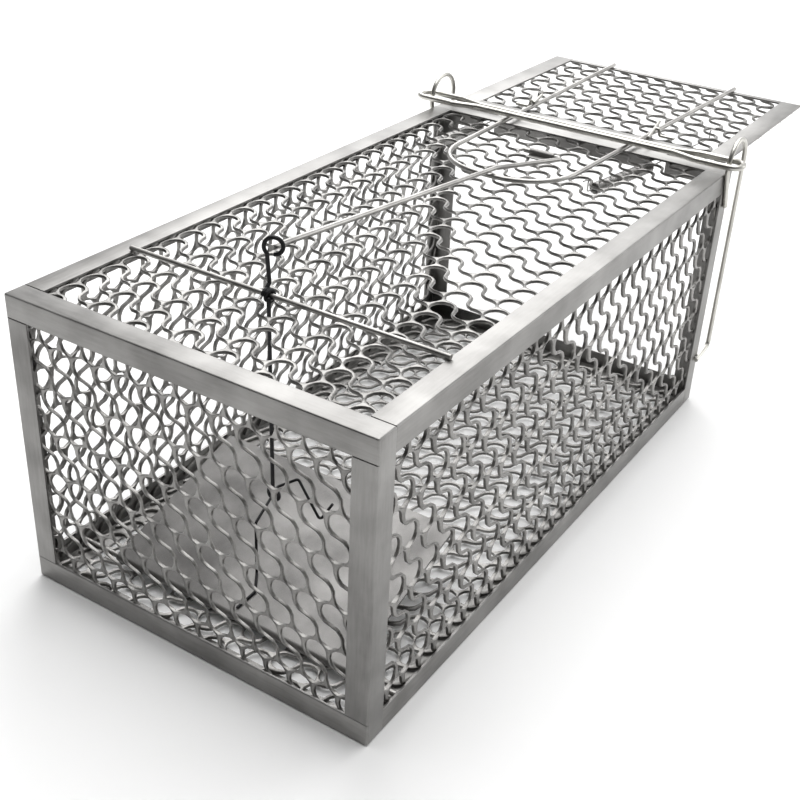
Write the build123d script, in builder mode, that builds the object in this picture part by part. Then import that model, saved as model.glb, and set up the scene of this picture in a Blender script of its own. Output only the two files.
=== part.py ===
# Live catch trap: a wire cage with a spring door, set with its door held open.
# Millimetres. +X runs from the bait end to the door end, +Y to the left, +Z up.
# The origin is the middle of the whole trap's footprint, on the surface it stands on.
import os
from math import cos, radians, sin, tan

from build123d import *

# ---- cage box ----
cage_length = 262.0
cage_width = 140.0
cage_height = 110.0
strip_leg = 8.5
strip_t = 0.9

# ---- expanded metal ----
mesh_t = 1.6
mesh_inset = 3.0
mesh_pitch = 9.3
mesh_row = 16.4
mesh_row_shift = 3.65
slot_width = 5.4
slot_length = 12.3
slot_tilt = 47.6
mesh_border = 1.2
hook_hole_r = 2.2

# ---- hinge and door ----
hinge_gap = 2.0
hinge_drop = 0.4
pin_r = 0.8
knuckle_wall = 0.6
knuckle_fit = 0.1
cage_knuckle_length = 16.0
cage_knuckle_y = 49.0
door_knuckle_length = 28.0
door_knuckle_y = 3.0
door_floor_gap = 5.0
door_side_gap = 4.5
door_mesh_t = 1.5
door_strip_width = 9.5
door_strip_t = 0.85
door_hem_width = 3.0
hinge_strip_width = 7.0
hinge_strip_start = 1.9

# ---- bail on the door ----
bail_r = 1.0
bail_reach = 80.0
bail_bend_r = 24.0
bail_end_past_hem = 1.0
bail_bow_y = (30.5, -23.0)
bail_end_y = (33.2, -31.5)

# ---- small clips beside the bail legs ----
clip_r = 0.7
clip_from_hinge = 15.5
clip_tail = 9.5
clip_bar_ends = ((13.0, 27.0), (1.0, 26.0))
clip_lean = 2.6

# ---- lock guides and lock bar ----
guide_r = 1.0
arch_r = 9.5
arch_rise = 3.0
guide_low_z = 22.0
guide_weld_drop = 15.0
lock_r = 1.25
lock_pinch = 3.2
lock_eye_width = 9.2
lock_pinch_from_side = 23.0
lock_eye_from_side = 12.0
lock_past_side = 6.5
lock_over_arch = 2.0

# ---- cross bar, bait lever ----
cross_r = 0.9
cross_x = 48.0
cross_end_gap = 7.5
lever_r = 0.7
lever_y = 4.0
lever_fit = 0.15
eye_height = 16.5
eye_lean = 2.5
eye_r = 3.0
eye_turn = 25.0
ring_z = 37.0
ring_x = 46.8
ring_y = 2.0
ring_r = 2.4

# ---- trigger rod and its saddle ----
rod_r = 1.0
rod_fit = 0.1
rod_pivot_from_hinge = 39.0
rod_pivot_lift = 1.4
rod_tip_past_eye = 1.3
rod_bend_from_pivot = 38.0
rod_over_bail = 0.46
rod_bend_y = 1.0
rod_turn_y = -10.0
rod_end_y = 8.0
saddle_length = 11.0
saddle_y = -0.5
saddle_t = 0.5
saddle_flange = 3.0

# ---- treadle ----
treadle_x = 19.5
treadle_side_gap = 19.5
treadle_length = 65.0
treadle_tilt = 16.4
treadle_t = 0.7
treadle_hem = 6.0
pivot_wire_r = 1.0
curl_fit = 0.1
curl_gap = 0.4

# ---- bait wire ----
bait_r = 0.5
bait_bend_r = 0.9
bait_foot = ((20.0, -3.0), (28.0, -4.5))
bait_stem = (34.5, 0.0)
bait_stem_drop = 4.3
bait_slide = 3.0
bait_barb = ((7.2, -5.0, 4.0), (11.2, -11.5, -13.0), (13.7, -15.0, -6.0))

# ---- springs ----
coil_r = 2.5
coil_wire = 0.6
coil_from_hinge = 47.0
coil_length = 39.0
coil_drop = 5.4
spring_hook_from_hinge = 53.0
spring_reach = 40.0
hook_half = 1.0
spring_notch_width = 8.0
left_spring_y = (51.0, 42.0)
right_spring_y = (-29.0, -45.0)

# ---- places worked out from the sizes ----
door_length = cage_height - door_floor_gap
door_width = cage_width - 2 * door_side_gap
overall_length = cage_length + hinge_gap + door_length + bail_end_past_hem
x0 = -overall_length / 2
x1 = x0 + cage_length
half_w = cage_width / 2
top = cage_height
hinge_x = x1 + hinge_gap
hinge_z = top - hinge_drop
mesh_top = top - strip_t
knuckle_r = pin_r + knuckle_fit + knuckle_wall
pivot_x = hinge_x - rod_pivot_from_hinge
pivot_z = mesh_top + rod_pivot_lift
cross_z = top + cross_r
bail_z = hinge_z + door_mesh_t / 2 + door_strip_t + bail_r
curl_r = pivot_wire_r + curl_fit + treadle_t
treadle_pivot_x = x0 + treadle_x
treadle_pivot_z = strip_t + mesh_t + curl_r + curl_gap
arch_x = x1
arch_z = top + arch_rise
coil_start_x = hinge_x - coil_from_hinge
coil_end_x = coil_start_x + coil_length
spring_hook_x = hinge_x - spring_hook_from_hinge
spring_door_x = hinge_x + spring_reach

os.makedirs("parts", exist_ok=True)


def save(name, builder):
    """Label a finished piece and write it as its own STEP file."""
    builder.part.label = name
    export_step(builder.part, f"parts/{name}.step")


def bent_wire(points, bend, radius):
    """Round wire through the points, with the same bend radius at every corner."""
    with BuildPart() as wire:
        with BuildLine() as route:
            if len(points) == 2:
                Line(*points)
            else:
                FilletPolyline(*points, radius=bend)
        with BuildSketch(Plane(origin=route.line @ 0, z_dir=route.line % 0)):
            Circle(radius)
        sweep(path=route.line)
    return wire.part


def wire_ring(centre, axis, ring_radius, radius):
    """Closed ring of round wire about a level axis."""
    across = Vector(*axis).cross(Vector(0, 0, 1))
    with BuildPart() as ring:
        with BuildSketch(Plane(origin=centre, x_dir=(0, 0, 1), z_dir=across)):
            with Locations((ring_radius, 0)):
                Circle(radius)
        revolve(axis=Axis(centre, axis))
    return ring.part


def angle_strip(plane, length):
    """Right-angle strip: its outer corner runs along the plane's normal from its origin."""
    with BuildPart() as strip:
        with BuildSketch(plane):
            Rectangle(strip_leg, strip_t, align=(Align.MIN, Align.MIN))
            Rectangle(strip_t, strip_leg, align=(Align.MIN, Align.MIN))
        extrude(amount=length)
    return strip.part


def lattice(plane, length, height, thickness, anchor, flip, holes=()):
    """Flat expanded-metal panel: rows of slanted slots run along the plane's x direction.

    The panel's middle is the plane's origin. anchor is the middle of one slot, and flip
    is 1 or -1 for the way that the slots lean. holes are round openings for hooks.
    """
    inner_l = length - 2 * mesh_border
    inner_h = height - 2 * mesh_border
    rows = int(height / mesh_row) + 2
    columns = int(length / mesh_pitch) + 2
    reach_x = inner_l / 2 + slot_length / 2
    reach_y = inner_h / 2 + slot_length / 2
    centres = []
    for row in range(-2 * rows, 2 * rows + 1):
        y = anchor[1] + row * mesh_row
        if abs(y) > reach_y:
            continue
        shift = -flip * row * mesh_row_shift
        for column in range(-2 * columns, 2 * columns + 1):
            x = anchor[0] + shift + column * mesh_pitch
            if abs(x) < reach_x:
                centres.append((x, y))
    with BuildPart() as panel:
        with BuildSketch(plane):
            Rectangle(inner_l, inner_h)
            with Locations(*centres):
                SlotCenterToCenter(
                    slot_length, slot_width, rotation=-flip * slot_tilt, mode=Mode.SUBTRACT
                )
            if holes:
                with Locations(*holes):
                    Circle(hook_hole_r, mode=Mode.SUBTRACT)
            with BuildSketch(mode=Mode.PRIVATE) as border:
                Rectangle(length, height)
                Rectangle(inner_l, inner_h, mode=Mode.SUBTRACT)
            add(border.sketch)
        extrude(amount=thickness)
    return panel.part


# ---- cage frame: cross rails, posts and long rails of folded strip ----
into_x = (1, 0, 0)
out_x = (-1, 0, 0)
to_left = (0, 1, 0)
to_right = (0, -1, 0)
upward = (0, 0, 1)

cross_rails = {
    "bait_end_top_rail": Plane((x0, -half_w, top), x_dir=into_x, z_dir=to_left),
    "bait_end_bottom_rail": Plane((x0, half_w, 0), x_dir=into_x, z_dir=to_right),
    "door_end_bottom_rail": Plane((x1, -half_w, 0), x_dir=out_x, z_dir=to_left),
}
cross_solids = []
for name, plane in cross_rails.items():
    with BuildPart() as rail:
        add(angle_strip(plane, cage_width))
    save(name, rail)
    cross_solids.append(rail.part)

# The rail over the door also carries two rolled knuckles and is notched for the springs.
spring_lines = {"left_spring": left_spring_y, "right_spring": right_spring_y}


def bail_leg_y(side, from_hinge):
    """Where a bail leg (0 left, 1 right) stands across the door at a reach from the hinge."""
    bow, end = bail_bow_y[side], bail_end_y[side]
    share = (bail_reach + from_hinge) / (bail_reach + door_length + bail_end_past_hem)
    return bow + (end - bow) * share


def spring_point(ends, x, z):
    """Point at x and z on a spring's line, which runs slightly across the cage."""
    share = (x - coil_start_x) / (spring_door_x - coil_start_x)
    return (x, ends[0] + (ends[1] - ends[0]) * share, z)


with BuildPart() as door_end_top_rail:
    add(angle_strip(Plane((x1, half_w, top), x_dir=out_x, z_dir=to_right), cage_width))
    notch_bottom = top - strip_leg
    for ends in spring_lines.values():
        notch_y = spring_point(ends, x1, 0)[1]
        with BuildSketch(Plane.XY.offset(notch_bottom - 1)):
            with Locations((x1 - strip_t / 2, notch_y)):
                Rectangle(strip_t * 2, spring_notch_width)
        extrude(amount=strip_leg - strip_t * 2 + 1, mode=Mode.SUBTRACT)
    for side in (1, -1):
        knuckle_plane = Plane.XZ.offset(-side * cage_knuckle_y)
        with BuildSketch(knuckle_plane):
            with Locations((hinge_x, hinge_z)):
                Circle(knuckle_r)
            with Locations((x1 - strip_t / 2, top - strip_t)):
                Rectangle(strip_t, 2 * knuckle_r, align=(Align.MIN, Align.CENTER))
            with Locations((x1, hinge_z)):
                Rectangle(hinge_gap, strip_t, align=(Align.MIN, Align.CENTER))
        extrude(amount=cage_knuckle_length / 2, both=True)
        with BuildSketch(knuckle_plane):
            with Locations((hinge_x, hinge_z)):
                Circle(pin_r + knuckle_fit)
        extrude(amount=cage_knuckle_length / 2 + 1, both=True, mode=Mode.SUBTRACT)
save("door_end_top_rail", door_end_top_rail)
cross_solids.append(door_end_top_rail.part)

posts = {
    "bait_end_left_post": Plane((x0, half_w, 0), x_dir=to_right, z_dir=upward),
    "bait_end_right_post": Plane((x0, -half_w, 0), x_dir=into_x, z_dir=upward),
    "door_end_left_post": Plane((x1, half_w, 0), x_dir=out_x, z_dir=upward),
    "door_end_right_post": Plane((x1, -half_w, 0), x_dir=to_left, z_dir=upward),
}
post_solids = []
for name, plane in posts.items():
    with BuildPart() as post:
        add(angle_strip(plane, cage_height))
        add(cross_solids, mode=Mode.SUBTRACT)
    save(name, post)
    post_solids.append(post.part)

long_rails = {
    "top_left_rail": Plane((x0, half_w, top), x_dir=to_right, z_dir=into_x),
    "bottom_left_rail": Plane((x1, half_w, 0), x_dir=to_right, z_dir=out_x),
    "top_right_rail": Plane((x1, -half_w, top), x_dir=to_left, z_dir=out_x),
    "bottom_right_rail": Plane((x0, -half_w, 0), x_dir=to_left, z_dir=into_x),
}
for name, plane in long_rails.items():
    with BuildPart() as rail:
        add(angle_strip(plane, cage_length))
        add(cross_solids + post_solids, mode=Mode.SUBTRACT)
    save(name, rail)

# ---- cage walls of expanded metal, inside the strips ----
panel_length = cage_length - 2 * mesh_inset
panel_width = cage_width - 2 * mesh_inset
panel_height = cage_height - 2 * mesh_inset
middle_x = (x0 + x1) / 2
side_y = half_w - strip_t

top_plane = Plane((middle_x, 0, mesh_top - mesh_t), x_dir=into_x, z_dir=upward)
lever_hole = (x0 + cross_x - middle_x - 0.6, lever_y - 0.6)
hook_x = spring_hook_x + hook_half
hook_points = [spring_point(ends, hook_x, 0) for ends in spring_lines.values()]
spring_holes = [(x - middle_x, y) for x, y, z in hook_points]
with BuildPart() as top_mesh:
    add(lattice(top_plane, panel_length, panel_width, mesh_t, lever_hole, -1, spring_holes))
save("top_mesh", top_mesh)

floor_plane = Plane((middle_x, 0, strip_t), x_dir=into_x, z_dir=upward)
with BuildPart() as floor_mesh:
    add(lattice(floor_plane, panel_length, panel_width, mesh_t, (0, 0), 1))
save("floor_mesh", floor_mesh)

left_plane = Plane((middle_x, side_y, top / 2), x_dir=out_x, z_dir=to_left).offset(-mesh_t)
with BuildPart() as left_mesh:
    add(lattice(left_plane, panel_length, panel_height, mesh_t, (0, 0), 1))
save("left_mesh", left_mesh)

right_plane = Plane((middle_x, -side_y, top / 2), x_dir=into_x, z_dir=to_right).offset(-mesh_t)
with BuildPart() as right_mesh:
    add(lattice(right_plane, panel_length, panel_height, mesh_t, (0, 0), 1))
save("right_mesh", right_mesh)

end_plane = Plane((x0 + strip_t, 0, top / 2), x_dir=to_right, z_dir=out_x).offset(-mesh_t)
with BuildPart() as bait_end_mesh:
    add(lattice(end_plane, panel_width, panel_height, mesh_t, (0, 0), 1))
save("bait_end_mesh", bait_end_mesh)

# ---- door: mesh, edge strips, hem, hinge strip with its knuckle, and the hinge wire ----
door_mesh_start = hinge_strip_start + 1.2
door_mesh_length = door_length - door_mesh_start
door_mesh_width = door_width - 2.0
door_middle = hinge_x + door_mesh_start + door_mesh_length / 2
door_top = hinge_z + door_mesh_t / 2
door_plane = Plane((door_middle, 0, hinge_z - door_mesh_t / 2), x_dir=to_left, z_dir=upward)
door_hook_x = spring_door_x - hook_half
door_hook_points = [spring_point(ends, door_hook_x, 0) for ends in spring_lines.values()]
door_holes = [(y, door_middle - x) for x, y, z in door_hook_points]
with BuildPart() as door_mesh:
    add(lattice(door_plane, door_mesh_width, door_mesh_length, door_mesh_t, (0, 0), 1, door_holes))
save("door_mesh", door_mesh)

for name, side in (("door_left_strip", 1), ("door_right_strip", -1)):
    with BuildPart() as strip:
        with BuildSketch(Plane.XY.offset(door_top)):
            with Locations((hinge_x + hinge_strip_start, side * door_width / 2)):
                Rectangle(
                    door_length - hinge_strip_start,
                    door_strip_width,
                    align=(Align.MIN, Align.MAX if side > 0 else Align.MIN),
                )
        extrude(amount=door_strip_t)
    save(name, strip)

inner_width = door_width - 2 * door_strip_width
with BuildPart() as door_far_hem:
    with BuildSketch(Plane.XY.offset(door_top)):
        with Locations((hinge_x + door_length, 0)):
            Rectangle(door_hem_width, inner_width, align=(Align.MAX, Align.CENTER))
    extrude(amount=door_strip_t)
save("door_far_hem", door_far_hem)

with BuildPart() as door_hinge_strip:
    with BuildSketch(Plane.XY.offset(door_top)):
        with Locations((hinge_x + hinge_strip_start, 0)):
            Rectangle(hinge_strip_width, inner_width, align=(Align.MIN, Align.CENTER))
    extrude(amount=door_strip_t)
    with BuildSketch(Plane.XZ.offset(-door_knuckle_y)):
        with Locations((hinge_x, hinge_z)):
            Circle(knuckle_r)
        with Locations((hinge_x, door_top)):
            Rectangle(
                hinge_strip_start + 1,
                knuckle_r - door_mesh_t / 2,
                align=(Align.MIN, Align.MIN),
            )
    extrude(amount=door_knuckle_length / 2, both=True)
    with BuildSketch(Plane.XZ.offset(-door_knuckle_y)):
        with Locations((hinge_x, hinge_z)):
            Circle(pin_r)
    extrude(amount=door_knuckle_length / 2 + 1, both=True, mode=Mode.SUBTRACT)
save("door_hinge_strip", door_hinge_strip)

pin_half_length = cage_knuckle_y + cage_knuckle_length / 2 + 1.5
with BuildPart() as hinge_wire:
    with BuildSketch(Plane.XZ):
        with Locations((hinge_x, hinge_z)):
            Circle(pin_r)
    extrude(amount=pin_half_length, both=True)
save("hinge_wire", hinge_wire)

# ---- bail: one bent wire, its legs on the door and its bow over the cage top ----
bail_end_x = hinge_x + door_length + bail_end_past_hem
bail_points = [
    (bail_end_x, bail_end_y[0], bail_z),
    (hinge_x - bail_reach, bail_bow_y[0], bail_z),
    (hinge_x - bail_reach, bail_bow_y[1], bail_z),
    (bail_end_x, bail_end_y[1], bail_z),
]
with BuildPart() as door_bail:
    add(bent_wire(bail_points, bail_bend_r, bail_r))
save("door_bail", door_bail)

# Each small clip is a short wire over a bail leg with a tail out along the hinge line.
clip_high = bail_z + bail_r + clip_r
clip_low = door_top + clip_r
for side, name, outward in ((0, "left_bail_clip", 1), (1, "right_bail_clip", -1)):
    near, far = clip_bar_ends[side]
    leg_y = bail_leg_y(side, clip_from_hinge)
    clip_x = hinge_x + clip_from_hinge
    slope = 2 * clip_lean / (clip_bar_ends[1][1] - clip_bar_ends[1][0])
    bar_points = [
        (hinge_x + reach, leg_y + slope * (reach - clip_from_hinge), clip_high)
        for reach in (near, far)
    ]
    beside_leg = leg_y + outward * (bail_r + 2 * clip_r)
    tail_points = [
        (clip_x, leg_y + outward * clip_tail, clip_low),
        (clip_x, beside_leg, clip_low),
        (clip_x, beside_leg, clip_high),
        (clip_x, leg_y, clip_high),
    ]
    with BuildPart() as clip:
        add(bent_wire(bar_points, 0, clip_r))
        add(bent_wire(tail_points, clip_r * 1.5, clip_r))
    save(name, clip)

# ---- lock guides: long inverted hooks beside the door, and the lock bar round them ----
guide_back_x = arch_x - arch_r
guide_front_x = arch_x + arch_r
weld_x = x1 - strip_leg / 2
for name, side in (("left_lock_guide", 1), ("right_lock_guide", -1)):
    guide_y = side * (half_w + guide_r)
    guide_points = [
        (weld_x, guide_y, top - guide_weld_drop),
        (guide_back_x, guide_y, top + guide_r),
        (guide_back_x, guide_y, arch_z + arch_r),
        (guide_front_x, guide_y, arch_z + arch_r),
        (guide_front_x, guide_y, guide_low_z + 2 * guide_r),
        (weld_x, guide_y, guide_low_z),
    ]
    arch_bend = arch_r - 0.2
    with BuildPart() as guide:
        add(bent_wire(guide_points, [4.0, arch_bend, arch_bend, 3.0], guide_r))
    save(name, guide)

lock_x = arch_x - (arch_r**2 - lock_over_arch**2) ** 0.5
lock_z = arch_z + lock_over_arch
pinch = lock_pinch / 2
eye = lock_eye_width / 2
quarter = [
    (pinch, half_w - lock_pinch_from_side),
    (eye, half_w - lock_eye_from_side),
    (eye, half_w + lock_past_side),
]
one_end = [(-x, y) for x, y in quarter] + [(x, y) for x, y in reversed(quarter)]
loop = one_end + [(x, -y) for x, y in reversed(one_end)]
with BuildPart() as lock_bar:
    with BuildLine() as loop_line:
        FilletPolyline(
            *[(lock_x + x, y, lock_z) for x, y in loop], radius=eye - 0.6, close=True
        )
    loop_edge = loop_line.edges().sort_by(SortBy.LENGTH)[-1]
    with BuildSketch(Plane(origin=loop_edge @ 0, z_dir=loop_edge % 0)):
        Circle(lock_r)
    sweep(path=loop_line.line)
save("lock_bar", lock_bar)

# ---- cross bar on the cage top ----
with BuildPart() as cross_bar:
    with BuildSketch(Plane.XZ):
        with Locations((x0 + cross_x, cross_z)):
            Circle(cross_r)
    extrude(amount=half_w - cross_end_gap, both=True)
save("cross_bar", cross_bar)

# ---- bait lever: black wire with an eye on top, a turn round the bar and a ring below ----
wrap_r = cross_r + lever_fit + lever_r
eye_centre = (x0 + cross_x + eye_lean, lever_y, top + eye_height)
ring_centre = (x0 + ring_x, ring_y, ring_z)
eye_axis = (cos(radians(eye_turn)), sin(radians(eye_turn)), 0)
stem_x = x0 + cross_x + wrap_r
lever_points = [
    (eye_centre[0], lever_y, eye_centre[2] - eye_r),
    (stem_x, lever_y, cross_z + 3.0),
    (stem_x, lever_y, cross_z - 3.0),
    (ring_centre[0], ring_y, ring_z + ring_r),
]
with BuildPart() as bait_lever:
    add(bent_wire(lever_points, 1.5, lever_r))
    add(wire_ring(eye_centre, eye_axis, eye_r, lever_r))
    add(wire_ring((x0 + cross_x, lever_y, cross_z), to_left, wrap_r, lever_r))
    add(wire_ring(ring_centre, into_x, ring_r, lever_r))
save("bait_lever", bait_lever)

# ---- trigger rod, and the sheet saddle that its cranked end turns in ----
tip_x = eye_centre[0] - rod_tip_past_eye
rod_points = [
    (tip_x, lever_y, eye_centre[2]),
    (
        pivot_x - rod_bend_from_pivot,
        rod_bend_y,
        bail_z + bail_r + rod_r + rod_over_bail,
    ),
    (pivot_x, rod_turn_y, pivot_z),
    (pivot_x, rod_end_y, pivot_z),
]
with BuildPart() as trigger_rod:
    add(bent_wire(rod_points, 2.2, rod_r))
save("trigger_rod", trigger_rod)

saddle_in = rod_r + rod_fit
saddle_out = saddle_in + saddle_t
saddle_rise = pivot_z - mesh_top
with BuildPart() as rod_saddle:
    with BuildSketch(Plane.XZ.offset(-saddle_y)):
        with Locations((pivot_x, pivot_z)):
            Circle(saddle_out)
            Rectangle(2 * saddle_out, saddle_rise, align=(Align.CENTER, Align.MAX))
        with Locations((pivot_x, mesh_top)):
            Rectangle(
                2 * (saddle_out + saddle_flange), saddle_t, align=(Align.CENTER, Align.MIN)
            )
        with Locations((pivot_x, pivot_z)):
            Circle(saddle_in, mode=Mode.SUBTRACT)
            Rectangle(
                2 * saddle_in,
                saddle_rise + saddle_out,
                align=(Align.CENTER, Align.MAX),
                mode=Mode.SUBTRACT,
            )
    extrude(amount=saddle_length / 2, both=True)
save("rod_saddle", rod_saddle)

# ---- treadle: a plate with its near edge curled round a pivot wire ----
with BuildPart() as treadle_pivot_wire:
    with BuildSketch(Plane.XZ):
        with Locations((treadle_pivot_x, treadle_pivot_z)):
            Circle(pivot_wire_r)
    extrude(amount=side_y - mesh_t, both=True)
save("treadle_pivot_wire", treadle_pivot_wire)

tilt = radians(treadle_tilt)
curl_in = pivot_wire_r + curl_fit
treadle_plane = Plane(
    (treadle_pivot_x, 0, treadle_pivot_z), x_dir=(cos(tilt), 0, sin(tilt)), z_dir=to_right
)
with BuildPart() as treadle_plate:
    with BuildSketch(treadle_plane):
        Circle(curl_r)
        with Locations((0, curl_in)):
            Rectangle(treadle_length, treadle_t, align=(Align.MIN, Align.MIN))
        with Locations((treadle_length, curl_in)):
            Rectangle(treadle_hem, treadle_t, align=(Align.MAX, Align.MAX))
        Circle(curl_in, mode=Mode.SUBTRACT)
    extrude(amount=half_w - treadle_side_gap, both=True)
save("treadle_plate", treadle_plate)


def on_plate(x, y):
    """Point on the bait wire's axis where it lies on the plate, x from the bait end."""
    rise = (x - treadle_x) * tan(tilt)
    return (x0 + x, y, treadle_pivot_z + rise + (curl_r + bait_r) / cos(tilt))


bait_points = [on_plate(x, y) for x, y in bait_foot]
bait_points += [
    on_plate(*bait_stem),
    (x0 + bait_stem[0], bait_stem[1], ring_z - bait_stem_drop),
]
through_ring = (Vector(*ring_centre) - Vector(*bait_points[-1])).normalized()
bait_points.append(tuple(Vector(*ring_centre) + through_ring * bait_slide))
bait_points += [tuple(Vector(*ring_centre) + Vector(*offset)) for offset in bait_barb]
with BuildPart() as bait_wire:
    add(bent_wire(bait_points, bait_bend_r, bait_r))
save("bait_wire", bait_wire)

# ---- extension springs: coil body under the cage top, hooks up through both meshes ----
coil_z = top - coil_drop
for name, ends in spring_lines.items():
    near_points = [
        spring_point(ends, spring_hook_x - 3 * hook_half, mesh_top + coil_wire),
        spring_point(ends, hook_x, mesh_top + coil_wire),
        spring_point(ends, hook_x, coil_z),
        spring_point(ends, coil_start_x + 2, coil_z),
    ]
    far_points = [
        spring_point(ends, coil_end_x - 2, coil_z),
        spring_point(ends, door_hook_x, hinge_z - door_mesh_t / 2 - 3 * coil_wire),
        spring_point(ends, door_hook_x, door_top + coil_wire),
        spring_point(ends, spring_door_x + 3 * hook_half, door_top + coil_wire),
    ]
    coil_begin = spring_point(ends, coil_start_x, coil_z)
    coil_axis = Vector(*spring_point(ends, coil_end_x, coil_z)) - Vector(*coil_begin)
    with BuildPart() as spring:
        add(bent_wire(near_points, 0.9, coil_wire / 2))
        add(bent_wire(far_points, 0.9, coil_wire / 2))
        with BuildSketch(Plane(coil_begin, z_dir=coil_axis)):
            Circle(coil_r)
        extrude(amount=coil_axis.length)
    save(name, spring)
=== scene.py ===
# %% [markdown]
# # A wire cage trap, set with its door held open
# The cage is folded steel strip with expanded metal between the strips.
# A sheet door, a bail, a lock bar, a trigger rod and a treadle make it work.
# The CAD model is loaded first and fixes every size. It carries each
# moving body, so a prettier piece only has to ride on its body by name.

# %% Load the frame
from math import ceil, cos, radians, sin

import bmesh
import bpy
from mathutils import Matrix, Vector


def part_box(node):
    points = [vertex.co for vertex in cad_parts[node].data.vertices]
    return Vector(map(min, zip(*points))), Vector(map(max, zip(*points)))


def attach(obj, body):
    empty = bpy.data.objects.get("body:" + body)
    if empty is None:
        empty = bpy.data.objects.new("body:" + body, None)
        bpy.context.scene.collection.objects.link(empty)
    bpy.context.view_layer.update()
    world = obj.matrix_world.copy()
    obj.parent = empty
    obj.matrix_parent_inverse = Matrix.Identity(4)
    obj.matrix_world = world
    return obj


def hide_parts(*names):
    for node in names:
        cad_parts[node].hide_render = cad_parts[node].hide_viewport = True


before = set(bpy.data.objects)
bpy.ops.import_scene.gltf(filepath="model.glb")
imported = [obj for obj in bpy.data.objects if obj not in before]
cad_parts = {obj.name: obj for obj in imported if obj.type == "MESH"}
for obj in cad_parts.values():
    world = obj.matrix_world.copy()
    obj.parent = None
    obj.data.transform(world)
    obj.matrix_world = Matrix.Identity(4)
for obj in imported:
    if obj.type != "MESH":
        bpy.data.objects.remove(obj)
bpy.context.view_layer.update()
MM = 0.001

# %% [markdown]
# ## Where things are
# Every place comes from the boxes of the CAD nodes, so nothing is fitted by
# eye. The cage's own corner, its top and the hinge line are used most.

# %% Places read from the CAD nodes
cage_low = Vector((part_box("bait_end_top_rail")[0].x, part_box("top_right_rail")[0].y, 0))
cage_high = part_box("top_left_rail")[1].copy()
cage_high.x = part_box("door_end_bottom_rail")[1].x
hinge_low, hinge_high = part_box("hinge_wire")
hinge_x = (hinge_low.x + hinge_high.x) / 2
bait_x = cage_low.x
top_z = cage_high.z
print("cage, mm:", [round(v / MM, 1) for v in (cage_high - cage_low)])

# %% [markdown]
# ## Camera
# A long-ish lens stands above the bait end, to the right, and looks down the
# cage. The camera comes first.

# %% Camera
camera_data = bpy.data.cameras.new("Camera")
camera_data.sensor_width = 36
camera_data.lens = 54.82
camera_data.clip_start, camera_data.clip_end = 0.01, 20
camera = bpy.data.objects.new("Camera", camera_data)
camera.location = (-0.407264, -0.212628, 0.277380)
camera.rotation_euler = (radians(59.512), radians(-2.507), radians(-56.865))
bpy.context.scene.collection.objects.link(camera)
bpy.context.scene.camera = camera
print("camera at, mm:", [round(v / MM) for v in camera.location])

# %% [markdown]
# ## Floor and light
# Bare metal shows little colour of its own: it shows the room. A broad lamp
# overhead gives the strips their bright top faces, a weaker one lights the
# long side, and the end towards the camera is left to a dimmer sky.


# %% Node helpers
def add_node(tree, kind, **settings):
    """A new node with attributes set by name, and inputs set through a dict called inputs."""
    node = tree.nodes.new(kind)
    for key, value in settings.pop("inputs", {}).items():
        node.inputs[key].default_value = value
    for key, value in settings.items():
        setattr(node, key, value)
    return node


def new_material(name):
    """An empty node material and its shader, already linked to the output."""
    material = bpy.data.materials.new(name)
    material.use_nodes = True
    tree = material.node_tree
    tree.nodes.clear()
    shader = add_node(tree, "ShaderNodeBsdfPrincipled")
    output = add_node(tree, "ShaderNodeOutputMaterial")
    tree.links.new(shader.outputs["BSDF"], output.inputs["Surface"])
    return material, tree, shader


# %% Floor
floor_material, floor_tree, floor_shader = new_material("studio_floor")
floor_noise = add_node(floor_tree, "ShaderNodeTexNoise", inputs={"Scale": 3.0, "Detail": 2.0})
floor_place = add_node(floor_tree, "ShaderNodeTexCoord")
floor_ramp = add_node(floor_tree, "ShaderNodeValToRGB")
floor_ramp.color_ramp.elements[0].color = (0.90, 0.90, 0.895, 1)
floor_ramp.color_ramp.elements[1].color = (0.93, 0.93, 0.93, 1)
floor_tree.links.new(floor_place.outputs["Object"], floor_noise.inputs["Vector"])
floor_tree.links.new(floor_noise.outputs["Fac"], floor_ramp.inputs["Fac"])
floor_tree.links.new(floor_ramp.outputs["Color"], floor_shader.inputs["Base Color"])
floor_shader.inputs["Roughness"].default_value = 0.9
floor_mesh = bpy.data.meshes.new("Studio_floor")
floor_mesh.from_pydata([(-6, -6, 0), (6, -6, 0), (6, 6, 0), (-6, 6, 0)], [], [(0, 1, 2, 3)])
floor_mesh.materials.append(floor_material)
floor = bpy.data.objects.new("Studio_floor", floor_mesh)
floor.location.z = -0.0002
bpy.context.scene.collection.objects.link(floor)
print("floor laid at z 0")


# %% Lamps and sky
def soft_lamp(name, place, target, size, power):
    """A square area lamp at a place, turned to a target."""
    data = bpy.data.lights.new(name, "AREA")
    data.size = size
    data.energy = power
    lamp = bpy.data.objects.new(name, data)
    lamp.location = place
    lamp.rotation_euler = (Vector(target) - Vector(place)).to_track_quat("-Z", "Y").to_euler()
    bpy.context.scene.collection.objects.link(lamp)


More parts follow.
